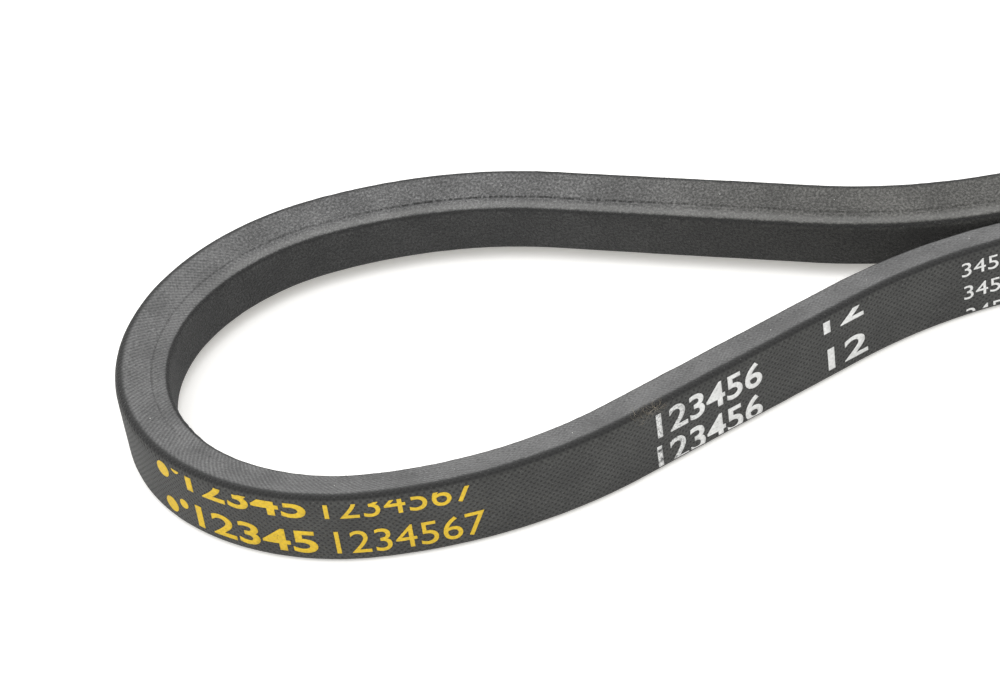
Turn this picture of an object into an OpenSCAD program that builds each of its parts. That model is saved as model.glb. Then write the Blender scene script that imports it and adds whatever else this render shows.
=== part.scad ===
// Wrapped classical V-belt, lying on its side, squeezed at a waist into a small and a large loop.
// Origin: on the resting surface, at the middle of the belt's length and width.
// +X runs along the line of symmetry from the small loop to the large one, +Z is up.
// The route is measured along the back (wide face) of the belt, anticlockwise from the small loop's tip.

/* [Section] */
// Width across the back, its widest place
top_width = 13; // [10.5:0.5:17]
// Height of the section, from the back to the narrow inner face
section_height = 8; // [6.5:0.5:10]
// Slope of each flank, half of the wedge angle
flank_angle = 20; // [15:1:21]
// Radius worn by the jacket at the two outer corners
back_corner_r = 1.2; // [0.6:0.1:1.4]
// Radius worn by the jacket at the two inner corners
base_corner_r = 1.1; // [0.6:0.1:1.3]

/* [Layers] */
// Thickness of each of the two fabric plies
ply_thickness = 0.45; // [0.35:0.05:0.6]
// Depth of the pitch line below the back, where the cords lie
pitch_depth = 2.75; // [2.5:0.05:3.3]
// Diameter of the tension cord
cord_diameter = 1.2; // [0.8:0.1:1.4]
// Distance between neighbouring turns of the cord
cord_pitch = 1.6; // [1.5:0.05:1.9]
// Least rubber between the outermost turn and the jacket
cord_margin = 0.2; // [0.1:0.05:0.5]
// Cushion gum above and below the middle of the cords
gum_thickness = 0.9; // [0.7:0.05:1]

/* [Lap seam] */
// Place of the lap seam on the upper flank, as depth below the back
seam_place = 5.4; // [3:0.1:6]
// Width of the seam's groove along the flank
seam_width = 0.3; // [0.2:0.05:0.6]
// Depth of the seam's groove into the outer ply
seam_cut = 0.15; // [0.1:0.05:0.25]

/* [Length and small loop] */
// Length of the closed loop along the pitch line
pitch_length = 1090; // [905:5:1400]
// Radius at the tip of the small loop
tip_r = 34.5; // [29:0.5:41]
// Turn of the tip on each side of the line of symmetry
tip_turn = 45; // [30:1:55]
// Radius beside the tip
cheek_r = 40; // [33:1:48]
// Turn beside the tip
cheek_turn = 37; // [25:1:42]
// Radius where the small loop runs out to its straight
run_out_r = 73; // [60:1:88]

/* [Waist] */
// Angle between each straight of the small loop and the line of symmetry
neck_angle = 23.5; // [20:0.5:28]
// Radius that turns the strands side by side
neck_r = 73; // [60:1:88]
// Free space between the two strands at the waist
waist_gap = 1; // [0.8:0.1:4]
// Length over which the strands lie side by side
waist_length = 8; // [4:1:20]

/* [Large loop] */
// Length of the two straights beside the far end of the large loop
side_length = 45.3; // [10:0.1:60]
// Angle at which the strands spread after the waist
spread_angle = 30; // [25:1:36]
// Radius that spreads the strands after the waist
spread_r = 90; // [75:1:108]
// Radius that turns the spread strands parallel again
shoulder_r = 110; // [91:1:132]

/* [Marks] */
// Thickness of the printed film
film_thickness = 0.05; // [0.04:0.01:0.1]
// Height of a printed figure
figure_height = 4.4; // [3:0.1:5.2]
// Width of a printed figure
figure_width = 3.2; // [2.5:0.1:4]
// Distance between the middles of neighbouring figures
figure_pitch = 4.4; // [4.2:0.1:5]
// Distance between the rows of figures
row_pitch = 5.8; // [5.4:0.1:6.5]
// Start of the yellow figures, measured from the tip along the back
yellow_start = 16; // [10:1:30]
// Number of yellow figures in a row
yellow_count = 14; // [4:1:16]
// How far the yellow rows sit above the middle of the back
yellow_shift = 2.6; // [-3:0.1:3]
// Start of the white figures, measured from the tip along the back
white_start = 108; // [100:1:120]
// Number of white figures in a row
white_count = 6; // [3:1:8]
// How far the white rows sit above the middle of the back
white_shift = -2.4; // [-3:0.1:3]

/* [Hidden] */
// Largest turn between two stations of the route.
bend_step = 10;
// Facets that round off each corner of the jacket.
corner_steps = 2;
// Sides of the cord and its channels.
cord_sides = 6;
// A figure cut off to less than this is left out.
film_least = 0.5;
deg = 180 / PI;

// A closed route turns once, so the back is longer than the pitch line by 2 pi times its depth.
back_length = pitch_length + 2 * PI * pitch_depth;
waist_y = section_height + waist_gap / 2;
run_out_turn = 90 + neck_angle - tip_turn - cheek_turn;

// Small loop: the straight is as long as it takes to come from the loop's side to the waist.
function rise(radius, from, to) = radius * (cos(from) - cos(to));
function advance(radius, from, to) = radius * (sin(to) - sin(from));
loop_y = advance(tip_r, 0, tip_turn)
       + advance(cheek_r, tip_turn, tip_turn + cheek_turn)
       + advance(run_out_r, tip_turn + cheek_turn, 90 + neck_angle);
neck_length = (loop_y - waist_y - rise(neck_r, 0, neck_angle)) / sin(neck_angle);

// Large loop: its far end, the bow, is as wide as it takes to use up the length. Each millimetre of
// its radius adds a quarter turn of bow and a longer slanting straight.
spread_rise = rise(spread_r + shoulder_r, 0, spread_angle);
fixed_length = (tip_r * tip_turn + cheek_r * cheek_turn + run_out_r * run_out_turn + neck_r * neck_angle
             + (spread_r + shoulder_r) * spread_angle) / deg + neck_length + waist_length + side_length;
slant = 1 / sin(spread_angle);
bow_r = (back_length / 2 - fixed_length + (waist_y + spread_rise) * slant) / (PI / 2 + slant);
spread_length = (bow_r - waist_y - spread_rise) * slant;

// Each stretch of the route: [turn, radius], or [0, length] for a straight. A negative turn bends outward.
front_half = [[tip_turn, tip_r], [cheek_turn, cheek_r], [run_out_turn, run_out_r], [0, neck_length],
              [-neck_angle, neck_r], [0, waist_length], [-spread_angle, spread_r], [0, spread_length],
              [spread_angle, shoulder_r], [0, side_length], [90, bow_r]];
last = len(front_half) - 1;
route = concat(front_half, [for (i = [last : -1 : 0]) front_half[i]]);

function to_left(heading) = [-sin(heading), cos(heading)];
function length_of(stretch) = stretch[0] == 0 ? stretch[1] : abs(stretch[0]) * stretch[1] / deg;
function steps_of(stretch) = stretch[0] == 0 ? 1 : ceil(abs(stretch[0]) / bend_step);

// A place on the route is [point on the back, heading, distance from the tip].
function onward(place, stretch, share) =
    let (heading = place[1], turn = share * stretch[0], side = stretch[0] > 0 ? stretch[1] : -stretch[1],
         step = stretch[0] == 0 ? share * stretch[1] * [cos(heading), sin(heading)]
                                : side * (to_left(heading) - to_left(heading + turn)))
    [place[0] + step, heading + turn, place[2] + share * length_of(stretch)];
function walk(start, i) = i == 0 ? start : onward(walk(start, i - 1), route[i - 1], 1);

// The belt spans the same distance on either side of the origin.
half_span = walk([[0, 0], -90, 0], last + 1)[0][0] / 2;
tip = [[-half_span, 0], -90, 0];
stations = [for (i = [0 : len(route) - 1]) let (start = walk(tip, i), steps = steps_of(route[i]))
            for (k = [0 : steps - 1]) onward(start, route[i], k / steps)];

// The place at any distance, on the flat between the two stations around it.
function place_at(distance) =
    let (i = max([for (k = [0 : len(stations) - 2]) if (stations[k][2] <= distance) k]),
         share = (distance - stations[i][2]) / (stations[i + 1][2] - stations[i][2]))
    stations[i] + share * (stations[i + 1] - stations[i]);
function places_between(from, to) =
    concat([place_at(from)], [for (s = stations) if (s[2] > from + 0.01 && s[2] < to - 0.01) s], [place_at(to)]);

// Sweeps a profile through places. Its points are [depth below the back, height above the floor].
module sweep(places, profile, closed) {
    m = len(profile);
    n = len(places);
    points = [for (p = places) for (q = profile) let (at = p[0] + q[0] * to_left(p[1])) [at[0], at[1], q[1]]];
    sides = [for (i = [0 : n - (closed ? 1 : 2)]) for (j = [0 : m - 1])
             let (a = i * m, b = (i + 1) % n * m, k = (j + 1) % m) [a + j, a + k, b + k, b + j]];
    ends = closed ? [] : [[for (j = [m - 1 : -1 : 0]) j], [for (j = [0 : m - 1]) (n - 1) * m + j]];
    polyhedron(points, concat(sides, ends));
}

module ring(profile) sweep(stations, profile, true);

// Half width of the section at a depth below the back, inside a jacket of the given thickness.
function half_width(depth, inset) = top_width / 2 - depth * tan(flank_angle) - inset / cos(flank_angle);
jacket = 2 * ply_thickness;
gum_top = pitch_depth - gum_thickness;
gum_base = pitch_depth + gum_thickness;
cord_room = 2 * (half_width(pitch_depth, jacket) - cord_diameter / 2 - cord_margin);
cord_turns = floor(cord_room / cord_pitch) + 1;

// One corner as a fan of points round a centre, or a sharp point where the jacket is thicker than its radius.
function fan(centre, radius, from, to) =
    [for (i = [0 : corner_steps]) let (a = from + (to - from) * i / corner_steps) centre + radius * [cos(a), sin(a)]];
function back_corner(inset) =
    back_corner_r > inset
    ? fan([back_corner_r, half_width(back_corner_r, back_corner_r)], back_corner_r - inset, 180, 90 - flank_angle)
    : [[inset, half_width(inset, inset)]];
function base_corner(inset) =
    let (centre = section_height - base_corner_r, edge = section_height - inset)
    base_corner_r > inset
    ? fan([centre, half_width(centre, base_corner_r)], base_corner_r - inset, 90 - flank_angle, 0)
    : [[edge, half_width(edge, inset)]];

// The belt rests on its lower back corner, so the section's middle is as high as the upper one reaches.
middle = max([for (p = back_corner(0)) p[1]]);
function raise(profile) = [for (p = profile) [p[0], p[1] + middle]];

// Completes a profile from its upper half, which runs from the back to the inner face.
function both_halves(upper) =
    raise(concat(upper, [for (i = [len(upper) - 1 : -1 : 0]) [upper[i][0], -upper[i][1]]]));
function section(inset) = both_halves(concat(back_corner(inset), base_corner(inset)));
function flank_point(depth) = [depth, half_width(depth, jacket)];

// The lap seam is a shallow groove across the upper flank.
function seam_point(along, cut) =
    [seam_place + along * cos(flank_angle) - cut * sin(flank_angle),
     half_width(seam_place, 0) - along * sin(flank_angle) - cut * cos(flank_angle)];
function outer_section() =
    let (side = seam_width / 2, lower = section(0), half = len(lower) / 2)
    concat(raise(back_corner(0)),
           raise([seam_point(-side, 0), seam_point(-side, seam_cut), seam_point(side, seam_cut), seam_point(side, 0)]),
           raise(base_corner(0)),
           [for (i = [half : 2 * half - 1]) lower[i]]);

// The cord's turns lie side by side across the section, on the pitch line.
function turn_height(i) = ((cord_turns - 1) / 2 - i) * cord_pitch;
function cord_point(i, angle) = [pitch_depth, turn_height(i)] + cord_diameter / 2 * [cos(angle), sin(angle)];
function cord_arc(i, from, to) =
    let (steps = abs(to - from) / 360 * cord_sides)
    [for (k = [0 : steps]) cord_point(i, from + (to - from) * k / steps)];

// Rows of printed figures that lie on the back. A figure that would pass an edge of the flat is cut off there.
flat_half = back_corner(0)[0][1];
module figure_rows(start, count, shift)
    for (i = [0 : count - 1])
        for (row = [-1 : 1]) {
            from = start + i * figure_pitch;
            centre = shift + row * row_pitch;
            low = middle + max(centre - figure_height / 2, -flat_half);
            high = middle + min(centre + figure_height / 2, flat_half);
            if (high - low > film_least)
                sweep(places_between(from, from + figure_width),
                      [[-film_thickness, high], [0, high], [0, low], [-film_thickness, low]], false);
        }

module outer_jacket()
    color([0.16, 0.16, 0.17]) difference() {
        ring(outer_section());
        ring(section(ply_thickness));
    }

module inner_jacket()
    color([0.22, 0.21, 0.2]) difference() {
        ring(section(ply_thickness));
        ring(section(jacket));
    }

module back_rubber()
    color([0.1, 0.1, 0.1]) ring(both_halves(concat(back_corner(jacket), [flank_point(gum_top)])));

// Each half of the cushion gum has a channel for every turn of the cord, in the face at the pitch line.
module upper_cushion_gum() {
    layer = both_halves([flank_point(gum_top), flank_point(pitch_depth)]);
    channels = [for (i = [0 : cord_turns - 1]) each raise(cord_arc(i, 90, 270))];
    color([0.3, 0.28, 0.24]) ring(concat([layer[0], layer[1]], channels, [layer[2], layer[3]]));
}

module tension_cord()
    color([0.85, 0.82, 0.72])
        for (i = [0 : cord_turns - 1])
            ring(raise([for (k = [1 : cord_sides]) cord_point(i, 90 - k * 360 / cord_sides)]));

module lower_cushion_gum() {
    layer = both_halves([flank_point(pitch_depth), flank_point(gum_base)]);
    channels = [for (i = [cord_turns - 1 : -1 : 0]) each raise(cord_arc(i, -90, 90))];
    color([0.3, 0.28, 0.24]) ring(concat(layer, channels));
}

module compression_rubber()
    color([0.08, 0.08, 0.08]) ring(both_halves(concat([flank_point(gum_base)], base_corner(jacket))));

module yellow_print()
    color([0.9, 0.76, 0.15]) figure_rows(yellow_start, yellow_count, yellow_shift);

module white_print()
    color([0.88, 0.88, 0.85]) figure_rows(white_start, white_count, white_shift);

outer_jacket();
inner_jacket();
back_rubber();
upper_cushion_gum();
tension_cord();
lower_cushion_gum();
compression_rubber();
yellow_print();
white_print();
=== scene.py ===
import math
import bpy
import bmesh
from mathutils import Vector, Matrix, noise


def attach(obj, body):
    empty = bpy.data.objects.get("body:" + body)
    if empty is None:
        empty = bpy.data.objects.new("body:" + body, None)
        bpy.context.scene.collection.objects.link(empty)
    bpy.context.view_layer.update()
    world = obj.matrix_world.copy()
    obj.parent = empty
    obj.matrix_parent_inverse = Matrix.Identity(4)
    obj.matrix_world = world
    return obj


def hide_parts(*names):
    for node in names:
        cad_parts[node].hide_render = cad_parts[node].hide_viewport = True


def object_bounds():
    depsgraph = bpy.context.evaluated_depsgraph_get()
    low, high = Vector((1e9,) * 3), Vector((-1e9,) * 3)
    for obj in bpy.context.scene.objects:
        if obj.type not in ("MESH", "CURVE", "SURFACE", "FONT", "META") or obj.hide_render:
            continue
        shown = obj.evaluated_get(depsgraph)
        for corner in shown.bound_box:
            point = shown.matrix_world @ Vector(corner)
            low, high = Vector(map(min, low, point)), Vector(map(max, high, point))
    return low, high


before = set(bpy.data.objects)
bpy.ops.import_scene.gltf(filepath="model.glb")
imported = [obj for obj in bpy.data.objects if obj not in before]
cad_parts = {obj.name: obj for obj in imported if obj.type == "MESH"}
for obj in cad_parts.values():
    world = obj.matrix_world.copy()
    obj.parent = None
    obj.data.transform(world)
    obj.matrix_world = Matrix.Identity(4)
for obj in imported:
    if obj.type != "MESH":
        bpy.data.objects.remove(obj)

frameLow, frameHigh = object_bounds()
print("frame box", [round(v, 4) for v in frameLow], [round(v, 4) for v in frameHigh])
mm = 0.001
scene = bpy.context.scene
collection = scene.collection


def addNode(tree, kind, **values):
    node = tree.nodes.new(kind)
    for key, value in values.items():
        setattr(node, key, value)
    return node


def feed(tree, socket, value):
    if isinstance(value, bpy.types.NodeSocket):
        tree.links.new(value, socket)
    elif value is not None:
        socket.default_value = value


def calc(tree, operation, a, b=None, clamp=False):
    node = addNode(tree, "ShaderNodeMath", operation=operation, use_clamp=clamp)
    feed(tree, node.inputs[0], a)
    feed(tree, node.inputs[1], b)
    return node.outputs[0]


def ramp(tree, value, start, end, low=0.0, high=1.0):
    node = addNode(tree, "ShaderNodeMapRange", interpolation_type="SMOOTHSTEP")
    for socket, given in zip(node.inputs, (value, start, end, low, high)):
        feed(tree, socket, given)
    return node.outputs[0]


def blendColour(tree, share, first, second, mode="MIX"):
    node = addNode(tree, "ShaderNodeMix", data_type="RGBA", blend_type=mode)
    feed(tree, node.inputs[0], share)
    feed(tree, node.inputs[6], first)
    feed(tree, node.inputs[7], second)
    return node.outputs[2]


def grain(tree, vector, scale, detail=2.0, roughness=0.5):
    node = addNode(tree, "ShaderNodeTexNoise")
    feed(tree, node.inputs["Vector"], vector)
    node.inputs["Scale"].default_value = scale
    node.inputs["Detail"].default_value = detail
    node.inputs["Roughness"].default_value = roughness
    return node.outputs["Fac"]


def stretched(tree, vector, scale):
    node = addNode(tree, "ShaderNodeMapping")
    feed(tree, node.inputs["Vector"], vector)
    node.inputs["Scale"].default_value = scale
    return node.outputs[0]


def newMaterial(name):
    material = bpy.data.materials.new(name)
    material.use_nodes = True
    return material, material.node_tree, material.node_tree.nodes["Principled BSDF"]


def bumped(tree, height, strength, distance):
    node = addNode(tree, "ShaderNodeBump")
    node.inputs["Strength"].default_value = strength
    node.inputs["Distance"].default_value = distance
    feed(tree, node.inputs["Height"], height)
    return node.outputs[0]


def meshObject(name, vertices, faces, material, smooth=True):
    mesh = bpy.data.meshes.new(name)
    mesh.from_pydata(vertices, [], faces)
    mesh.update()
    mesh.materials.append(material)
    if smooth:
        mesh.polygons.foreach_set("use_smooth", [True] * len(mesh.polygons))
    thing = bpy.data.objects.new(name, mesh)
    collection.objects.link(thing)
    return thing


# the belt's route has the same sizes as the part's source, in mm and degrees
route = dict(pitchLength=1090, pitchDepth=2.75, tip=34.5, tipTurn=45, cheek=40, cheekTurn=37, runOut=73,
             runOutTurn=31.5, neck=73, waist=8, waistGap=1, height=8, spread=90, spreadAngle=30,
             shoulder=110, side=45.3)
cut = dict(width=13, height=8, angle=20, backCorner=1.2, baseCorner=1.1, ply=0.45)


def across(radius, start, end):        # sideways step of an arc, measured off its first tangent's axis
    return radius * (math.cos(math.radians(start)) - math.cos(math.radians(end)))


def planRoute(r):
    turned = r["tipTurn"] + r["cheekTurn"] + r["runOutTurn"]
    neckAngle = turned - 90
    lean = math.radians(neckAngle)
    slant = 1 / math.sin(math.radians(r["spreadAngle"]))
    waistY = r["height"] + r["waistGap"] / 2
    half = (r["pitchLength"] + 2 * math.pi * r["pitchDepth"]) / 2
    low, steps = 0, [(r["tip"], r["tipTurn"]), (r["cheek"], r["cheekTurn"]), (r["runOut"], r["runOutTurn"])]
    heading = 0
    for radius, turn in steps:
        low += radius * (math.sin(math.radians(heading + turn)) - math.sin(math.radians(heading)))
        heading += turn
    neckLength = (low - waistY - across(r["neck"], 0, neckAngle)) / math.sin(lean)
    rise = across(r["spread"] + r["shoulder"], 0, r["spreadAngle"])
    used = sum(radius * math.radians(turn) for radius, turn in steps) + r["neck"] * lean
    used += (r["spread"] + r["shoulder"]) * math.radians(r["spreadAngle"])
    used += neckLength + r["waist"] + r["side"]
    bow = (half - used + (waistY + rise) * slant) / (math.pi / 2 + slant)
    spreadLength = (bow - waistY - rise) * slant
    pieces = steps + [(neckLength, 0), (r["neck"], -neckAngle), (r["waist"], 0),
                      (r["spread"], -r["spreadAngle"]), (spreadLength, 0),
                      (r["shoulder"], r["spreadAngle"]), (r["side"], 0), (bow, 90)]
    starts, x, y, heading, s = [], 0.0, 0.0, -90.0, 0.0
    for size, turn in pieces:
        starts.append((x, y, heading, s, size, turn))
        x, y, heading, s = along((x, y, heading, s, size, turn), 1.0)
    shift = -x / 2                      # the belt spans the same distance on either side of the origin
    return [(a + shift, b, h, d, size, turn) for a, b, h, d, size, turn in starts], half


def along(stretch, share):
    x, y, heading, s, size, turn = stretch
    angle = math.radians(heading)
    if turn == 0:
        step = share * size
        return x + step * math.cos(angle), y + step * math.sin(angle), heading, s + step
    side = size if turn > 0 else -size
    after = math.radians(heading + share * turn)
    return (x + side * (math.sin(after) - math.sin(angle)), y + side * (math.cos(angle) - math.cos(after)),
            heading + share * turn, s + share * abs(math.radians(turn)) * size)


stretches, halfLength = planRoute(route)


def backPoint(s):
    there = min(abs(s), halfLength)
    for stretch in reversed(stretches):
        if there >= stretch[3]:
            break
    size, turn = stretch[4], stretch[5]
    whole = size if turn == 0 else abs(math.radians(turn)) * size
    x, y, heading = along(stretch, (there - stretch[3]) / whole)[:3]
    return (x, y, heading) if s >= 0 else (x, -y, 180 - heading)


def place(s, depth, lift):               # metres; depth goes inwards from the back, lift up from the middle
    x, y, heading = backPoint(s)
    angle = math.radians(heading)
    return Vector((x - depth * math.sin(angle), y + depth * math.cos(angle), middle + lift)) * mm


def cornerCentre(depth, radius, inset):
    slope = math.radians(cut["angle"])
    lift = cut["width"] / 2 - (depth * math.sin(slope) + radius + inset) / math.cos(slope)
    return depth, lift


def cornerPoints(atBack, upper, steps, inset=0.0):
    radius = max((cut["backCorner"] if atBack else cut["baseCorner"]) - inset, 0.15)
    depth = radius + inset if atBack else cut["height"] - radius - inset
    cd, cl = cornerCentre(depth, radius, inset)
    top = 90 - cut["angle"]
    angles = [180 + (top - 180) * i / steps if atBack else top * (1 - i / steps) for i in range(steps + 1)]
    points = [(cd + radius * math.cos(math.radians(a)), cl + radius * math.sin(math.radians(a)))
              for a in angles]
    return points if upper else [(d, -w) for d, w in reversed(points)]


middle = max(w for d, w in cornerPoints(True, True, 220))      # the belt rests on its lower outer corner


def between(a, b, shares):
    return [(a[0] + (b[0] - a[0]) * t, a[1] + (b[1] - a[1]) * t) for t in shares]


def outline(cornerSteps, backSteps, flankShares, baseSteps, inset=0.0):
    lowBack, upBack, lowBase, upBase = (cornerPoints(atBack, upper, cornerSteps, inset)
                                        for atBack in (True, False) for upper in (False, True))
    plain = [i / 8 for i in range(1, 8)]
    points = between(lowBase[-1], lowBack[0], plain)[3:]       # starts halfway along the flank on the floor
    points += lowBack + between(lowBack[-1], upBack[0], [i / backSteps for i in range(1, backSteps)])
    points += upBack + between(upBack[-1], upBase[0], flankShares)
    points += upBase + between(upBase[-1], lowBase[0], [i / baseSteps for i in range(1, baseSteps)])
    points += lowBase + between(lowBase[-1], lowBack[0], plain)[:3]
    return points


def runLengths(points):                  # distance round the outline, 0 at the middle of the back
    sums, total = [0.0], 0.0
    for a, b in zip(points, points[1:] + points[:1]):
        total += math.hypot(b[0] - a[0], b[1] - a[1])
        sums.append(total)
    nearest = min(range(len(points)), key=lambda i: points[i][0] * 9 + abs(points[i][1]))
    zero = sums[nearest] - points[nearest][1]
    return [v - zero for v in sums]


lie = dict(slow=0.05, quick=0.022, fine=0.012, knots=0.20, sink=0.03, edgeWidth=1.3, backEdge=7.0,
           baseEdge=14.6)


def unevenness(s, v):                    # wrapped cloth never lies quite flat, mm
    slow = noise.noise(Vector((s / 23, v / 9, 3.1)))
    quick = noise.noise(Vector((s / 3.1, v / 2.2, 7.7)))
    fine = noise.noise(Vector((s / 1.1, v / 0.9, 1.3)))
    edge = max(0.0, 1 - min(abs(abs(v) - lie["backEdge"]), abs(v - lie["baseEdge"])) / lie["edgeWidth"])
    knot = abs(noise.noise(Vector((s / 1.7, v / 1.5, 4.4))))
    waves = lie["slow"] * slow + lie["quick"] * quick + lie["fine"] * fine
    return waves + lie["knots"] * edge * knot - lie["sink"]


def clothGroup():                        # wrap is (along, around) in units of 10 mm
    group = bpy.data.node_groups.new("wrapped cloth", "ShaderNodeTree")
    group.interface.new_socket("Wrap", in_out="INPUT", socket_type="NodeSocketVector")
    for name in ("Dimples", "Ribs", "Mottle", "Specks", "Wear"):
        group.interface.new_socket(name, in_out="OUTPUT", socket_type="NodeSocketFloat")
    entry, leave = addNode(group, "NodeGroupInput"), addNode(group, "NodeGroupOutput")
    wrap = entry.outputs[0]
    wobble = addNode(group, "ShaderNodeTexNoise")
    feed(group, wobble.inputs["Vector"], wrap)
    wobble.inputs["Scale"].default_value = 2.2
    shift = addNode(group, "ShaderNodeVectorMath", operation="MULTIPLY_ADD")
    feed(group, shift.inputs[0], wobble.outputs["Color"])
    shift.inputs[1].default_value = (0.05, 0.05, 0)
    feed(group, shift.inputs[2], wrap)
    parts = addNode(group, "ShaderNodeSeparateXYZ")
    feed(group, parts.inputs[0], shift.outputs[0])
    u, v = parts.outputs[0], parts.outputs[1]
    waveU = calc(group, "COSINE", calc(group, "MULTIPLY", u, 2 * math.pi / 0.1))
    waveV = calc(group, "COSINE", calc(group, "MULTIPLY", v, 2 * math.pi / 0.092))
    dimple = calc(group, "MULTIPLY", waveU, waveV)
    feed(group, leave.inputs["Dimples"], ramp(group, dimple, 0.0, 0.85))
    slope = calc(group, "SUBTRACT", calc(group, "MULTIPLY", u, 0.72), calc(group, "MULTIPLY", v, -0.72))
    rib = calc(group, "SINE", calc(group, "MULTIPLY", slope, 2 * math.pi / 0.06))
    thread = calc(group, "SINE", calc(group, "MULTIPLY", calc(group, "SUBTRACT", u, v), 2 * math.pi / 0.075))
    ribs = calc(group, "ADD", calc(group, "MULTIPLY", rib, 0.36), calc(group, "MULTIPLY", thread, 0.14))
    feed(group, leave.inputs["Ribs"], calc(group, "ADD", ribs, 0.5, clamp=True))
    broad = grain(group, wrap, 1.3, 3.0, 0.6)
    close = grain(group, wrap, 21.0, 2.0, 0.7)
    mottle = calc(group, "ADD", calc(group, "MULTIPLY", broad, 0.45), calc(group, "MULTIPLY", close, 0.55))
    feed(group, leave.inputs["Mottle"], ramp(group, mottle, 0.34, 0.66))
    feed(group, leave.inputs["Specks"], ramp(group, grain(group, wrap, 30.0, 1.0, 0.5), 0.66, 0.78))
    worn = grain(group, stretched(group, wrap, (1, 1.6, 1)), 7.0, 4.0, 0.72)
    feed(group, leave.inputs["Wear"], ramp(group, worn, 0.5, 0.68))
    return group


def rubberGroup():
    group = bpy.data.node_groups.new("rubber grain", "ShaderNodeTree")
    group.interface.new_socket("Place", in_out="INPUT", socket_type="NodeSocketVector")
    for name in ("Grain", "Fibres"):
        group.interface.new_socket(name, in_out="OUTPUT", socket_type="NodeSocketFloat")
    entry, leave = addNode(group, "NodeGroupInput"), addNode(group, "NodeGroupOutput")
    feed(group, leave.inputs["Grain"], grain(group, entry.outputs[0], 1400.0, 3.0, 0.6))
    fibre = grain(group, stretched(group, entry.outputs[0], (1, 1, 0.12)), 5200.0, 2.0, 0.5)
    feed(group, leave.inputs["Fibres"], ramp(group, fibre, 0.6, 0.72))
    return group


cloth, rubber = clothGroup(), rubberGroup()


def wrapCloth(tree):
    uv = addNode(tree, "ShaderNodeUVMap", uv_map="wrap")
    node = addNode(tree, "ShaderNodeGroup", node_tree=cloth)
    feed(tree, node.inputs["Wrap"], uv.outputs[0])
    parts = addNode(tree, "ShaderNodeSeparateXYZ")
    feed(tree, parts.inputs[0], uv.outputs[0])
    return node.outputs, parts.outputs, uv.outputs[0]


jacketLooks = dict(flank=(0.186, 0.186, 0.185, 1), back=(0.060, 0.060, 0.0565, 1),
                   inner=(0.057, 0.057, 0.055, 1), dark=(0.014, 0.014, 0.014, 1), fuzz=(0.30, 0.30, 0.29, 1),
                   farDarkening=(0.78, 0.77, 0.73, 1), rough=0.82)


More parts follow.
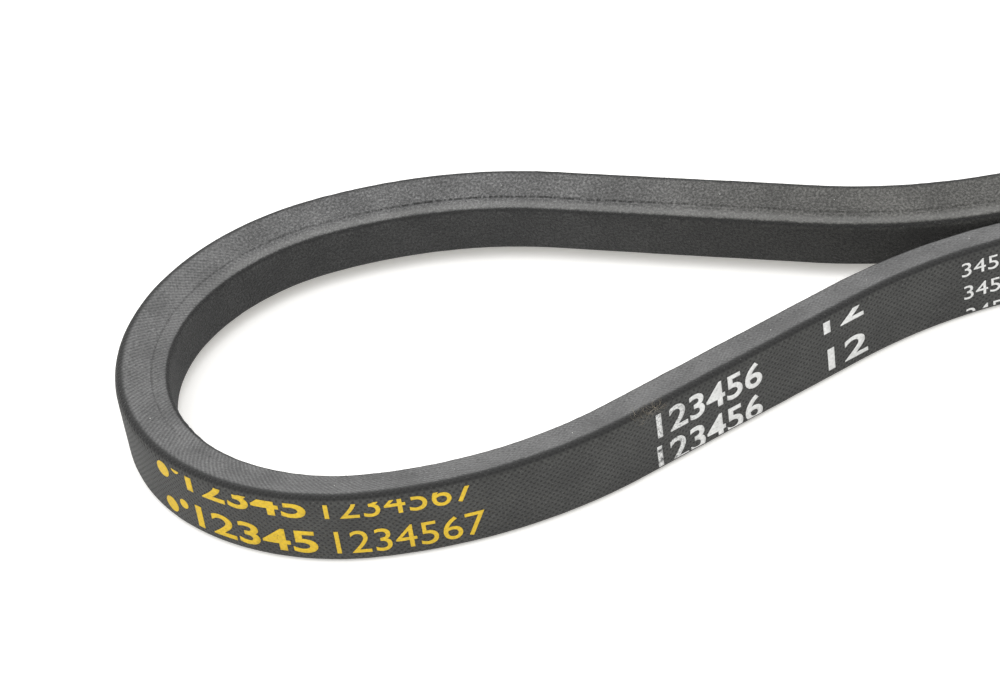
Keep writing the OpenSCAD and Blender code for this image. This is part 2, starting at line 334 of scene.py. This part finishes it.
def jacketMaterial(looks, flankStart, flankEnd, innerEnd, seam):
    material, tree, shader = newMaterial("wrapped fabric")
    out, parts, uv = wrapCloth(tree)
    u, v = parts[0], parts[1]
    onBack = ramp(tree, calc(tree, "ABSOLUTE", v), flankStart - 0.10, flankStart - 0.04, 1, 0)
    farStrand = ramp(tree, u, -1.5, -5.0)                    # that strand has rubbed to a dusty nap
    onInner = calc(tree, "MULTIPLY", ramp(tree, v, flankEnd - 0.02, flankEnd + 0.03),
                   ramp(tree, v, innerEnd - 0.02, innerEnd + 0.04, 1, 0))
    cornerShade = calc(tree, "MULTIPLY", ramp(tree, v, flankStart - 0.18, flankStart - 0.12),
                       ramp(tree, v, flankStart - 0.06, flankStart + 0.01, 1, 0))
    fray = calc(tree, "SUBTRACT", grain(tree, uv, 9.0, 4.0, 0.7), 0.5)
    ragged = calc(tree, "ADD", v, calc(tree, "MULTIPLY", fray, 0.09))
    fuzzBand = calc(tree, "MULTIPLY", ramp(tree, ragged, flankEnd - 0.16, flankEnd - 0.07),
                    ramp(tree, ragged, flankEnd - 0.03, flankEnd + 0.01, 1, 0))
    ledge = calc(tree, "MULTIPLY", ramp(tree, ragged, flankEnd, flankEnd + 0.03),
                 ramp(tree, ragged, flankEnd + 0.05, flankEnd + 0.09, 1, 0))
    dash = ramp(tree, grain(tree, stretched(tree, uv, (1, 0.25, 1)), 14.0, 2.0, 0.6), 0.42, 0.56)
    drift = calc(tree, "SUBTRACT", grain(tree, stretched(tree, uv, (1, 0.02, 1)), 0.8), 0.5)
    wander = calc(tree, "ADD", v, calc(tree, "MULTIPLY", drift, 0.05))
    seamLine = ramp(tree, calc(tree, "ABSOLUTE", calc(tree, "SUBTRACT", wander, seam)), 0.006, 0.022, 1, 0)
    openSeam = ramp(tree, calc(tree, "ABSOLUTE", calc(tree, "ADD", u, 8.6)), 1.8, 3.2, 1.0, 0.22)
    seamDark = calc(tree, "MULTIPLY", calc(tree, "MULTIPLY", seamLine, dash), openSeam)
    knots = ramp(tree, grain(tree, uv, 26.0, 2.0, 0.75), 0.40, 0.62)

    base = blendColour(tree, onBack, looks["flank"], looks["back"])
    base = blendColour(tree, onInner, base, looks["inner"])
    napped = addNode(tree, "ShaderNodeMix", data_type="FLOAT")
    nap = calc(tree, "MAXIMUM", calc(tree, "MULTIPLY", farStrand, 0.9), calc(tree, "MAXIMUM", onInner, 0.35))
    feed(tree, napped.inputs[0], nap)
    feed(tree, napped.inputs[2], out["Ribs"])
    feed(tree, napped.inputs[3], knots)
    offBack = calc(tree, "SUBTRACT", 1, onBack)
    hollows = calc(tree, "MULTIPLY", calc(tree, "SUBTRACT", 1, napped.outputs[0]), offBack)
    relief = calc(tree, "ADD", calc(tree, "MULTIPLY", out["Dimples"], onBack), hollows)
    base = blendColour(tree, calc(tree, "MULTIPLY", relief, 0.62), base, looks["dark"])
    tone = ramp(tree, out["Mottle"], 0, 1, 0.74, 1.26)
    base = blendColour(tree, 1.0, base, tone, "MULTIPLY")
    # the flanks and inner face are made darker and warmer from 80 to 140 mm along the far strand
    farDarkening = calc(tree, "MULTIPLY", ramp(tree, u, -8.0, -14.0), offBack)
    base = blendColour(tree, farDarkening, base, blendColour(tree, 1.0, base, looks["farDarkening"], "MULTIPLY"))
    fuzzShare = calc(tree, "MULTIPLY", fuzzBand, calc(tree, "MULTIPLY", farStrand, 0.3))
    base = blendColour(tree, fuzzShare, base, looks["fuzz"])
    base = blendColour(tree, calc(tree, "MULTIPLY", cornerShade, 0.85), base, looks["dark"])
    base = blendColour(tree, calc(tree, "MULTIPLY", ledge, 0.75), base, looks["dark"])
    base = blendColour(tree, calc(tree, "MULTIPLY", seamDark, 0.7), base, looks["dark"])
    base = blendColour(tree, calc(tree, "MULTIPLY", out["Specks"], 0.22), base, looks["fuzz"])
    feed(tree, shader.inputs["Base Color"], base)
    rough = looks["rough"]
    feed(tree, shader.inputs["Roughness"], ramp(tree, out["Mottle"], 0, 1, rough - 0.1, rough + 0.08))
    shader.inputs["Specular IOR Level"].default_value = 0.28
    shader.inputs["Sheen Weight"].default_value = 0.08
    shader.inputs["Sheen Roughness"].default_value = 0.6
    height = calc(tree, "SUBTRACT", calc(tree, "MULTIPLY", out["Mottle"], 0.3), relief)
    height = calc(tree, "SUBTRACT", height, seamDark)
    feed(tree, shader.inputs["Normal"], bumped(tree, height, 0.8, 0.00014))
    return material


def printMaterial(name, colour, bare, worn, patch):
    material, tree, shader = newMaterial(name)
    out, parts, uv = wrapCloth(tree)
    cracks = addNode(tree, "ShaderNodeTexVoronoi", feature="DISTANCE_TO_EDGE")
    feed(tree, cracks.inputs["Vector"], uv)
    cracks.inputs["Scale"].default_value = 16.0
    crack = ramp(tree, cracks.outputs["Distance"], 0.0, 0.05, 1, 0)
    near = ramp(tree, calc(tree, "ABSOLUTE", calc(tree, "SUBTRACT", parts[0], patch)), 0.2, 0.9, 1, 0)
    wornHere = calc(tree, "ADD", calc(tree, "MULTIPLY", near, 0.9), worn)            # most at the worn patch
    lost = calc(tree, "MULTIPLY", out["Wear"], wornHere, clamp=True)
    lost = calc(tree, "MAXIMUM", lost, calc(tree, "MULTIPLY", calc(tree, "MULTIPLY", crack, near), 0.8))
    lost = calc(tree, "MAXIMUM", lost, calc(tree, "MULTIPLY", out["Dimples"], 0.10))
    ink = blendColour(tree, 1.0, colour, ramp(tree, out["Mottle"], 0, 1, 0.88, 1.04), "MULTIPLY")
    feed(tree, shader.inputs["Base Color"], blendColour(tree, lost, ink, bare))
    feed(tree, shader.inputs["Roughness"], ramp(tree, out["Mottle"], 0, 1, 0.5, 0.68))
    shader.inputs["Specular IOR Level"].default_value = 0.3
    height = calc(tree, "SUBTRACT", 1, calc(tree, "ADD", out["Dimples"], lost))
    feed(tree, shader.inputs["Normal"], bumped(tree, height, 0.4, 0.0001))
    return material


def rubberMaterial(name, looks):
    material, tree, shader = newMaterial(name)
    coords = addNode(tree, "ShaderNodeTexCoord")
    node = addNode(tree, "ShaderNodeGroup", node_tree=rubber)
    feed(tree, node.inputs["Place"], coords.outputs["Object"])
    base = blendColour(tree, node.outputs["Grain"], looks["low"], looks["high"])
    share, rough = calc(tree, "MULTIPLY", node.outputs["Fibres"], looks["fibres"]), looks["rough"]
    feed(tree, shader.inputs["Base Color"], blendColour(tree, share, base, looks["fleck"]))
    spread = ramp(tree, node.outputs["Grain"], 0.2, 0.8, rough - 0.08, rough + 0.08)
    feed(tree, shader.inputs["Roughness"], spread)
    height = calc(tree, "ADD", node.outputs["Grain"], node.outputs["Fibres"])
    feed(tree, shader.inputs["Normal"], bumped(tree, height, 0.4, 0.0001))
    return material


jacket = dict(station=0.8, wallStation=3.0, cornerSteps=5, backSteps=8, baseSteps=6, seamDepth=5.4,
              seamCut=0.15, seamHalf=0.15, seamWander=0.22, lapWidth=1.2, lapStep=0.05)


def seamShares(atShare, length):
    fine = [atShare + o / length for o in (-0.55, -0.3, -0.15, -0.05, 0.05, 0.15, 0.3, 0.55)]
    coarse = [i / 9 for i in range(1, 9) if abs(i / 9 - atShare) * length > 0.8]
    return sorted(fine + coarse)


flankTop, flankFoot = cornerPoints(True, True, 4)[-1], cornerPoints(False, True, 4)[0]
flankLength = math.hypot(flankFoot[0] - flankTop[0], flankFoot[1] - flankTop[1])
seamShare = (jacket["seamDepth"] - flankTop[0]) / (flankFoot[0] - flankTop[0])
skin = outline(jacket["cornerSteps"], jacket["backSteps"], seamShares(seamShare, flankLength),
               jacket["baseSteps"])
around = runLengths(skin)
topPoint = min(skin, key=lambda p: math.hypot(p[0] - flankTop[0], p[1] - flankTop[1]))
flankStart = around[skin.index(topPoint)]
flankEnd = flankStart + flankLength
seamRun = flankStart + seamShare * flankLength
innerEnd = flankEnd + 2 * flankFoot[1]


def outwards(points, i):
    before, after = points[i - 1], points[(i + 1) % len(points)]
    d, w = after[0] - before[0], after[1] - before[1]
    size = math.hypot(d, w)
    return -w / size, d / size


def buildJacket(material):
    count = round(2 * halfLength / jacket["station"])
    wide = len(skin)
    normals = [outwards(skin, i) for i in range(wide)]
    vertices, faces, wraps = [], [], []
    for k in range(count):
        s = -halfLength + 2 * halfLength * k / count
        wander = jacket["seamWander"] * noise.noise(Vector((s / 31, 0.4, 9.2)))
        dash = 0.65 + 0.35 * noise.noise(Vector((s / 2.4, 5.5, 0.2)))
        for i, (depth, lift) in enumerate(skin):
            swell = unevenness(s, around[i])
            off = around[i] - seamRun
            if abs(off) < jacket["lapWidth"]:        # the lap: a groove with higher cloth beside it
                depth += wander * (1 - abs(off) / jacket["lapWidth"])
                if abs(off) < jacket["seamHalf"]:
                    swell -= jacket["seamCut"] * dash
                elif off < 0:
                    swell += jacket["lapStep"] * (1 + off / jacket["lapWidth"])
            vertices.append(place(s, depth + normals[i][0] * swell, lift + normals[i][1] * swell))
    for k in range(count):
        for i in range(wide):
            a, b = k * wide + i, k * wide + (i + 1) % wide
            c, d = (k + 1) % count * wide + (i + 1) % wide, (k + 1) % count * wide + i
            faces.append((a, d, c, b))
            u0, u1 = (-halfLength + 2 * halfLength * n / count for n in (k, k + 1))
            v0, v1 = around[i], around[i + 1]
            wraps += [(u0 / 10, v0 / 10), (u1 / 10, v0 / 10), (u1 / 10, v1 / 10), (u0 / 10, v1 / 10)]
    start = len(vertices)
    wall = outline(2, 2, [0.5], 2, cut["ply"] - 0.04)
    wallAround, rows, wide = runLengths(wall), round(2 * halfLength / jacket["wallStation"]), len(wall)
    for k in range(rows):
        s = -halfLength + 2 * halfLength * k / rows
        vertices += [place(s, depth, lift) for depth, lift in wall]
    for k in range(rows):
        for i in range(wide):
            a, b = start + k * wide + i, start + k * wide + (i + 1) % wide
            c, d = start + (k + 1) % rows * wide + (i + 1) % wide, start + (k + 1) % rows * wide + i
            faces.append((a, b, c, d))
            u0, u1 = (-halfLength + 2 * halfLength * n / rows for n in (k, k + 1))
            v0, v1 = wallAround[i], wallAround[i + 1]
            wraps += [(u0 / 10, v0 / 10), (u0 / 10, v1 / 10), (u1 / 10, v1 / 10), (u1 / 10, v0 / 10)]
    thing = meshObject("outerJacket", vertices, faces, material)
    layer = thing.data.uv_layers.new(name="wrap")
    layer.data.foreach_set("uv", [value for pair in wraps for value in pair])
    return thing


fabric = jacketMaterial(jacketLooks, flankStart / 10, flankEnd / 10, innerEnd / 10, seamRun / 10)
outerJacket = buildJacket(fabric)
print("outer jacket", len(outerJacket.data.polygons), "faces")


# a row of figures: text, start and end along the back, its foot's height above the floor, tallness, weight
yellowRows = dict(rows=[("12345", 25.0, 44.6, 1.75, 4.2, 0.055), ("1234567", 47.2, 68.6, 1.8, 4.2, 0.0),
                        ("12345", 24.2, 43.8, 8.35, 4.2, 0.055), ("1234567", 46.4, 67.8, 8.4, 4.2, 0.0)],
                  discs=[(19.6, 3.2, 1.35), (22.6, 4.8, 0.85), (19.2, 9.7, 1.35), (22.2, 11.3, 0.85)])
whiteRows = dict(rows=[("123456", 96.0, 114.4, 6.1, 4.5, 0.05), ("123456", 95.6, 114.0, 0.3, 4.5, 0.05),
                       ("12", 126.0, 133.2, 1.9, 4.0, 0.05), ("12", 125.6, 132.8, 8.9, 4.0, 0.05),
                       ("345", 149.6, 155.4, 7.8, 2.5, 0.0), ("345", 149.8, 155.6, 3.5, 2.5, 0.0),
                       ("345", 150.0, 155.8, -0.8, 2.5, 0.0)], discs=[])


printFilm = dict(thick=0.03, proud=0.045, overEdge=0.25)


def figureMesh(text, weight):
    curve = bpy.data.curves.new("figures", "FONT")
    curve.body, curve.size, curve.resolution_u = text, 1.0, 6
    curve.offset = weight * 0.35
    thing = bpy.data.objects.new("figures", curve)
    collection.objects.link(thing)
    mesh = bpy.data.meshes.new_from_object(thing.evaluated_get(bpy.context.evaluated_depsgraph_get()))
    points = [v.co.copy() for v in mesh.vertices]
    low = Vector((min(p.x for p in points), min(p.y for p in points), 0))
    size = Vector((max(p.x for p in points) - low.x, max(p.y for p in points) - low.y, 1))
    bpy.data.objects.remove(thing)
    return mesh, low, size


def printedPiece(name, spec, material):
    sheet = bmesh.new()
    for text, start, end, foot, tall, weight in spec["rows"]:
        mesh, low, size = figureMesh(text, weight)
        for v in mesh.vertices:
            v.co = Vector((start + (v.co.x - low.x) / size.x * (end - start),
                           foot + (v.co.y - low.y) / size.y * tall, 0))
        sheet.from_mesh(mesh)
        bpy.data.meshes.remove(mesh)
    for s, z, radius in spec["discs"]:
        bmesh.ops.create_circle(sheet, cap_ends=True, segments=28, radius=radius,
                                matrix=Matrix.Translation((s, z, 0)))
    flat = cornerPoints(True, True, 4)[0][1] + printFilm["overEdge"]
    for level, side in ((middle - flat, -1), (middle + flat, 1)):     # figures stop where the back turns over
        bmesh.ops.bisect_plane(sheet, geom=sheet.verts[:] + sheet.edges[:] + sheet.faces[:], dist=1e-5,
                               plane_co=(0, level, 0), plane_no=(0, side, 0), clear_outer=True)
    first, final = min(v.co.x for v in sheet.verts), max(v.co.x for v in sheet.verts)
    for s in range(math.ceil(first), math.floor(final) + 1):
        bmesh.ops.bisect_plane(sheet, geom=sheet.verts[:] + sheet.edges[:] + sheet.faces[:], dist=1e-5,
                               plane_co=(s, 0, 0), plane_no=(1, 0, 0))
    for z in range(1, 12):
        bmesh.ops.bisect_plane(sheet, geom=sheet.verts[:] + sheet.edges[:] + sheet.faces[:], dist=1e-5,
                               plane_co=(0, z, 0), plane_no=(0, 1, 0))
    bmesh.ops.triangulate(sheet, faces=sheet.faces[:])
    layer = sheet.loops.layers.uv.new("wrap")
    for face in sheet.faces:
        if face.normal.z < 0:
            face.normal_flip()
        for loop in face.loops:
            loop[layer].uv = (loop.vert.co.x / 10, (loop.vert.co.y - middle) / 10)
    for v in sheet.verts:
        s, lift = v.co.x, v.co.y - middle
        v.co = place(s, -unevenness(s, lift) - printFilm["proud"], lift)
    mesh = bpy.data.meshes.new(name)
    sheet.to_mesh(mesh)
    sheet.free()
    mesh.materials.append(material)
    thing = bpy.data.objects.new(name, mesh)
    collection.objects.link(thing)
    film = thing.modifiers.new("film", "SOLIDIFY")
    film.thickness, film.offset = printFilm["thick"] * mm, -1
    bpy.context.view_layer.update()
    solid = bpy.data.meshes.new_from_object(thing.evaluated_get(bpy.context.evaluated_depsgraph_get()))
    thing.modifiers.clear()
    thing.data = solid
    return thing


yellowInk = printMaterial("yellow print", (0.79, 0.53, 0.035, 1), (0.05, 0.05, 0.045, 1), 0.10, 16.0)
whiteInk = printMaterial("white print", (0.84, 0.84, 0.82, 1), (0.07, 0.07, 0.07, 1), 0.16, 9.55)
yellowFigures = printedPiece("yellowFigures", yellowRows, yellowInk)
whiteFigures = printedPiece("whiteFigures", whiteRows, whiteInk)
print("printed figures", len(yellowFigures.data.polygons), len(whiteFigures.data.polygons), "faces")


def scatterGroup():                      # strews copies of a fibre along a path
    group = bpy.data.node_groups.new("scatter along edge", "GeometryNodeTree")
    face = group.interface
    face.new_socket("Geometry", in_out="INPUT", socket_type="NodeSocketGeometry")
    for name, kind, value in (("Fibre", "NodeSocketObject", None), ("Spacing", "NodeSocketFloat", 0.001),
                              ("Scatter", "NodeSocketFloat", 0.0005), ("Smallest", "NodeSocketFloat", 0.4),
                              ("Largest", "NodeSocketFloat", 1.0), ("Tilt", "NodeSocketFloat", 1.2),
                              ("Seed", "NodeSocketInt", 1), ("Finish", "NodeSocketMaterial", None)):
        socket = face.new_socket(name, in_out="INPUT", socket_type=kind)
        if value is not None:
            socket.default_value = value
    face.new_socket("Geometry", in_out="OUTPUT", socket_type="NodeSocketGeometry")
    entry, leave = addNode(group, "NodeGroupInput"), addNode(group, "NodeGroupOutput")
    curve = addNode(group, "GeometryNodeMeshToCurve")
    feed(group, curve.inputs["Mesh"], entry.outputs["Geometry"])
    points = addNode(group, "GeometryNodeCurveToPoints", mode="LENGTH")
    feed(group, points.inputs["Curve"], curve.outputs[0])
    feed(group, points.inputs["Length"], entry.outputs["Spacing"])
    offset = addNode(group, "FunctionNodeRandomValue", data_type="FLOAT_VECTOR")
    offset.inputs[0].default_value, offset.inputs[1].default_value = (-1, -1, -1), (1, 1, 1)
    feed(group, offset.inputs["Seed"], entry.outputs["Seed"])
    scaled = addNode(group, "ShaderNodeVectorMath", operation="SCALE")
    feed(group, scaled.inputs[0], offset.outputs[0])
    feed(group, scaled.inputs["Scale"], entry.outputs["Scatter"])
    moved = addNode(group, "GeometryNodeSetPosition")
    feed(group, moved.inputs["Geometry"], points.outputs["Points"])
    feed(group, moved.inputs["Offset"], scaled.outputs[0])
    spin = addNode(group, "FunctionNodeRandomValue", data_type="FLOAT")
    spin.inputs[2].default_value, spin.inputs[3].default_value = -math.pi, math.pi
    tip = addNode(group, "FunctionNodeRandomValue", data_type="FLOAT")
    tip.inputs[2].default_value = 0.2
    feed(group, tip.inputs[3], entry.outputs["Tilt"])
    size = addNode(group, "FunctionNodeRandomValue", data_type="FLOAT")
    feed(group, size.inputs[2], entry.outputs["Smallest"])
    feed(group, size.inputs[3], entry.outputs["Largest"])
    for extra, node in ((11, spin), (23, tip), (37, size)):
        own = addNode(group, "FunctionNodeIntegerMath", operation="ADD")
        feed(group, own.inputs[0], entry.outputs["Seed"])
        own.inputs[1].default_value = extra
        feed(group, node.inputs["Seed"], own.outputs[0])
    turn = addNode(group, "ShaderNodeCombineXYZ")
    feed(group, turn.inputs[0], tip.outputs[1])
    feed(group, turn.inputs[2], spin.outputs[1])
    fibre = addNode(group, "GeometryNodeObjectInfo")
    feed(group, fibre.inputs["Object"], entry.outputs["Fibre"])
    copies = addNode(group, "GeometryNodeInstanceOnPoints")
    feed(group, copies.inputs["Points"], moved.outputs[0])
    feed(group, copies.inputs["Instance"], fibre.outputs["Geometry"])
    feed(group, copies.inputs["Rotation"], turn.outputs[0])
    feed(group, copies.inputs["Scale"], size.outputs[1])
    real = addNode(group, "GeometryNodeRealizeInstances")
    feed(group, real.inputs[0], copies.outputs[0])
    dressed = addNode(group, "GeometryNodeSetMaterial")
    feed(group, dressed.inputs["Geometry"], real.outputs[0])
    feed(group, dressed.inputs["Material"], entry.outputs["Finish"])
    feed(group, leave.inputs[0], dressed.outputs[0])
    return group


scatter = scatterGroup()


def threadMesh(name, length, thick, bend, material):        # a three-sided bent hair, thinner at its end
    points, faces, steps = [], [], 4
    for k in range(steps + 1):
        t = k / steps
        centre = Vector((bend * math.sin(t * 2.6), bend * 0.7 * t * t, length * t)) * mm
        radius = thick / 2 * (1 - 0.6 * t) * mm
        points += [centre + Vector((math.cos(a) * radius, math.sin(a) * radius, 0))
                   for a in (0, 2.0944, 4.18879)]
    for k in range(steps):
        for j in range(3):
            a, b = 3 * k + j, 3 * k + (j + 1) % 3
            faces.append((a, b, b + 3, a + 3))
    faces += [(2, 1, 0), (3 * steps, 3 * steps + 1, 3 * steps + 2)]
    return meshObject(name, points, faces, material)


def crumbMesh(name, size, material):
    ball = bmesh.new()
    bmesh.ops.create_icosphere(ball, subdivisions=1, radius=size / 2 * mm)
    for v in ball.verts:
        v.co *= 0.75 + 0.5 * abs(noise.noise(v.co * 9000 + Vector((4, 2, 1))))
    mesh = bpy.data.meshes.new(name)
    ball.to_mesh(mesh)
    ball.free()
    mesh.materials.append(material)
    thing = bpy.data.objects.new(name, mesh)
    collection.objects.link(thing)
    return thing


def fibreMaterial(name, pale, deep):
    material, tree, shader = newMaterial(name)
    coords = addNode(tree, "ShaderNodeTexCoord")
    tint = grain(tree, coords.outputs["Object"], 700.0, 2.0, 0.6)
    feed(tree, shader.inputs["Base Color"], blendColour(tree, ramp(tree, tint, 0.35, 0.65), deep, pale))
    feed(tree, shader.inputs["Roughness"], ramp(tree, tint, 0.3, 0.7, 0.7, 0.9))
    strands = grain(tree, coords.outputs["Object"], 9000.0)
    feed(tree, shader.inputs["Normal"], bumped(tree, strands, 0.3, 0.00002))
    return material


def edgePath(spans, depth, lift, step=1.0):      # points strung along the belt, one run per span
    vertices, edges = [], []
    for start, end in spans:
        count = max(round((end - start) / step), 2)
        for k in range(count + 1):
            vertices.append(place(start + (end - start) * k / count, depth, lift))
            if k:
                edges.append((len(vertices) - 2, len(vertices) - 1))
    mesh = bpy.data.meshes.new("path")
    mesh.from_pydata(vertices, edges, [])
    thing = bpy.data.objects.new("path", mesh)
    collection.objects.link(thing)
    return thing


def scattered(name, path, fibre, finish, **values):
    modifier = path.modifiers.new("scatter", "NODES")
    modifier.node_group = scatter
    given = dict(values, Fibre=fibre, Finish=finish)
    for socket in scatter.interface.items_tree:
        if socket.item_type == "SOCKET" and socket.in_out == "INPUT" and socket.name in given:
            modifier[socket.identifier] = given[socket.name]
    bpy.context.view_layer.update()
    mesh = bpy.data.meshes.new_from_object(path.evaluated_get(bpy.context.evaluated_depsgraph_get()))
    bpy.data.objects.remove(path)
    mesh.name = name
    thing = bpy.data.objects.new(name, mesh)
    collection.objects.link(thing)
    print(name, len(mesh.polygons), "faces")
    return thing


whole = [(-halfLength, halfLength)]
fuzz = dict(length=0.8, thick=0.035, bend=0.25, outerSpacing=1.1 * mm, innerSpacing=0.8 * mm)
tuft = dict(length=1.5, thick=0.04, bend=0.5, spacing=0.07 * mm, spans=[(92.6, 97.6)])
dust = dict(size=0.22, spacing=17 * mm, depth=3.6)
greyFibre = fibreMaterial("loose fibre", (0.17, 0.17, 0.165, 1), (0.05, 0.05, 0.05, 1))
strawFibre = fibreMaterial("frayed fibre", (0.42, 0.37, 0.29, 1), (0.20, 0.17, 0.13, 1))
paleLint = fibreMaterial("pale lint", (0.75, 0.75, 0.72, 1), (0.5, 0.5, 0.48, 1))
hair = threadMesh("hair", fuzz["length"], fuzz["thick"], fuzz["bend"], greyFibre)
straw = threadMesh("straw", tuft["length"], tuft["thick"], tuft["bend"], strawFibre)
crumb = crumbMesh("crumb", dust["size"], paleLint)
upBack, upBase = cornerPoints(True, True, 4), cornerPoints(False, True, 4)
outerFuzz = scattered("outerEdgeFuzz", edgePath(whole, *upBack[2]), hair, greyFibre,
                      Spacing=fuzz["outerSpacing"], Scatter=0.35 * mm, Smallest=0.3, Largest=0.9,
                      Tilt=1.5, Seed=3)
innerFuzz = scattered("innerEdgeFuzz", edgePath(whole, *upBase[1]), hair, greyFibre,
                      Spacing=fuzz["innerSpacing"], Scatter=0.4 * mm, Smallest=0.4, Largest=1.1,
                      Tilt=1.5, Seed=8)
frayedTuft = scattered("frayedTuft", edgePath(tuft["spans"], *upBack[1]), straw, strawFibre,
                       Spacing=tuft["spacing"], Scatter=0.55 * mm, Smallest=0.4, Largest=1.1,
                       Tilt=1.55, Seed=21)
lint = scattered("lintCrumbs", edgePath(whole, dust["depth"], cornerCentre(dust["depth"], 0, 0)[1]), crumb,
                 paleLint, Spacing=dust["spacing"], Scatter=0.3 * mm, Smallest=0.4, Largest=1.0,
                 Tilt=1.5, Seed=5)
for spare in (hair, straw, crumb):
    bpy.data.objects.remove(spare)


# the layers inside keep their CAD shape and get their materials
rubberLooks = dict(low=(0.012, 0.012, 0.013, 1), high=(0.035, 0.035, 0.036, 1),
                   fleck=(0.05, 0.05, 0.05, 1), fibres=0.2, rough=0.7)
baseLooks = dict(low=(0.012, 0.012, 0.013, 1), high=(0.04, 0.04, 0.041, 1),
                 fleck=(0.16, 0.15, 0.13, 1), fibres=0.6, rough=0.72)
gumLooks = dict(low=(0.02, 0.018, 0.016, 1), high=(0.045, 0.04, 0.036, 1),
                fleck=(0.06, 0.05, 0.04, 1), fibres=0.15, rough=0.55)
cordLooks = dict(low=(0.42, 0.38, 0.30, 1), high=(0.66, 0.62, 0.52, 1),
                 fleck=(0.22, 0.18, 0.13, 1), fibres=0.9, rough=0.6)
plyLooks = dict(low=(0.03, 0.03, 0.031, 1), high=(0.075, 0.075, 0.072, 1),
                fleck=(0.15, 0.14, 0.12, 1), fibres=0.8, rough=0.85)
inside = dict(inner_jacket=plyLooks, back_rubber=rubberLooks, upper_cushion_gum=gumLooks,
              lower_cushion_gum=gumLooks, tension_cord=cordLooks, compression_rubber=baseLooks)
for node, looks in inside.items():
    finish = rubberMaterial(node.replace("_", " "), looks)
    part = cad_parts[node]
    for materialSlot in part.material_slots:
        materialSlot.material = finish
print("inner layers", len(inside))

for piece, slotName, nodes in ((outerJacket, "outer_jacket_fabric", ["outer_jacket"]),
                               (yellowFigures, "yellow_film", ["yellow_print"]),
                               (whiteFigures, "white_film", ["white_print"]),
                               (outerFuzz, "outer_jacket_fabric", []), (innerFuzz, "outer_jacket_fabric", []),
                               (frayedTuft, "outer_jacket_fabric", []), (lint, "outer_jacket_fabric", [])):
    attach(piece, "root")
    if nodes:
        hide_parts(*nodes)


studio = dict(floorSize=8.0, floorColour=(0.86, 0.86, 0.86, 1), lift=0.36, liftColour=(1, 0.975, 0.91, 1),
              sky=0.60, lamp=24.0, lampSize=2.4, lampAt=(-0.25, -0.15, 1.25))


def buildFloor(spec):
    half = spec["floorSize"] / 2
    material, tree, shader = newMaterial("studio floor")
    shader.inputs["Base Color"].default_value = spec["floorColour"]
    shader.inputs["Roughness"].default_value = 0.9
    shader.inputs["Specular IOR Level"].default_value = 0.0
    path = addNode(tree, "ShaderNodeLightPath")
    shader.inputs["Emission Color"].default_value = spec["liftColour"]
    lift = calc(tree, "MULTIPLY", path.outputs["Is Camera Ray"], spec["lift"])
    feed(tree, shader.inputs["Emission Strength"], lift)
    floor = meshObject("floor", [(-half, -half, 0), (half, -half, 0), (half, half, 0), (-half, half, 0)],
                       [(0, 1, 2, 3)], material, smooth=False)
    return floor


def buildWorld(spec):
    world = bpy.data.worlds.new("studio")
    scene.world = world
    world.use_nodes = True
    tree = world.node_tree
    back = tree.nodes["Background"]
    back.inputs["Color"].default_value = (1, 1, 1, 1)
    path = addNode(tree, "ShaderNodeLightPath")
    strength = calc(tree, "MAXIMUM", path.outputs["Is Camera Ray"], spec["sky"])
    feed(tree, back.inputs["Strength"], strength)


def buildLamp(spec):
    lamp = bpy.data.lights.new("softbox", "AREA")
    lamp.shape, lamp.size, lamp.energy = "DISK", spec["lampSize"], spec["lamp"]
    thing = bpy.data.objects.new("softbox", lamp)
    thing.location = spec["lampAt"]
    thing.rotation_euler = (-Vector(spec["lampAt"])).to_track_quat("-Z", "Y").to_euler()
    collection.objects.link(thing)
    return thing


viewpoint = dict(azimuth=3.94, elevation=39.34, lean=8.91, distance=0.4988, lens=119.165, fromTip=57.07 * mm,
                 sideways=6.15 * mm, lift=-0.59 * mm)


def buildCamera(spec):
    turn, tilt, lean = (math.radians(spec[k]) for k in ("azimuth", "elevation", "lean"))
    ahead = Vector((math.sin(turn) * math.cos(tilt), math.cos(turn) * math.cos(tilt), -math.sin(tilt)))
    level = Vector((math.cos(turn), -math.sin(turn), 0))
    above = level.cross(ahead)
    side = level * math.cos(lean) - above * math.sin(lean)
    up = above * math.cos(lean) + level * math.sin(lean)
    target = Vector((frameLow.x + spec["fromTip"], spec["sideways"], spec["lift"]))
    data = bpy.data.cameras.new("camera")
    data.lens, data.sensor_width = spec["lens"], 36.0
    data.clip_start, data.clip_end = 0.01, 50
    thing = bpy.data.objects.new("camera", data)
    matrix = Matrix((side, up, -ahead)).transposed().to_4x4()
    matrix.translation = target - ahead * spec["distance"]
    thing.matrix_world = matrix
    collection.objects.link(thing)
    scene.camera = thing


floor = buildFloor(studio)
buildWorld(studio)
buildLamp(studio)
buildCamera(viewpoint)
scene.view_settings.view_transform = "Standard"
print("studio ready")
